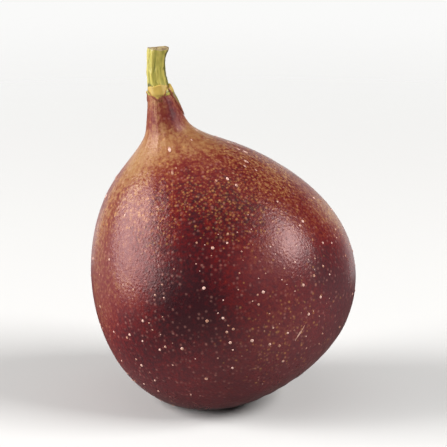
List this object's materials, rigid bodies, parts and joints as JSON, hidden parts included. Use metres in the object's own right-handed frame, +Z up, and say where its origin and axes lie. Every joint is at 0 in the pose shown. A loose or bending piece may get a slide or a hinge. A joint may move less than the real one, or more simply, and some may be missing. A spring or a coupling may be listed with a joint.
{
  "type": "fresh fig",
  "caption": "Whole ripe dark fig, pear shaped, leaning slightly on its settled flat underside, with a short green stalk on its neck and a closed eye of small scales.",
  "frame": {"origin": "on the resting surface, under the middle of the whole fig's box", "axes": "+Z up from the resting surface; the fig's axis lies in the XZ plane, its stalk end leaning towards -X and its eye looking down towards +X; -Y is the side seen from the front"},
  "size_m": [0.0574, 0.056, 0.0772],
  "materials": {
    "fig_skin": "thin ripe fig skin, maroon to ochre at the neck, pale speckles, soft waxy sheen",
    "green_stalk": "fresh yellow-green stalk, faintly ribbed, dry brown cut end",
    "neck_scale": "thin ochre scale with a brown edge, matt",
    "eye_scale": "thin dark red scale with a drier tip, matt"
  },
  "bodies": {
    "root": {"fruit": "fig_skin", "stalk": "green_stalk", "neck_scale_front": "neck_scale", "neck_scale_right": "neck_scale", "neck_scale_back": "neck_scale", "eye_scale_outer_1": "eye_scale", "eye_scale_outer_2": "eye_scale", "eye_scale_outer_3": "eye_scale", "eye_scale_outer_4": "eye_scale", "eye_scale_outer_5": "eye_scale", "eye_scale_outer_6": "eye_scale", "eye_scale_inner_1": "eye_scale", "eye_scale_inner_2": "eye_scale", "eye_scale_inner_3": "eye_scale", "eye_scale_inner_4": "eye_scale"}
  },
  "joints": []
}
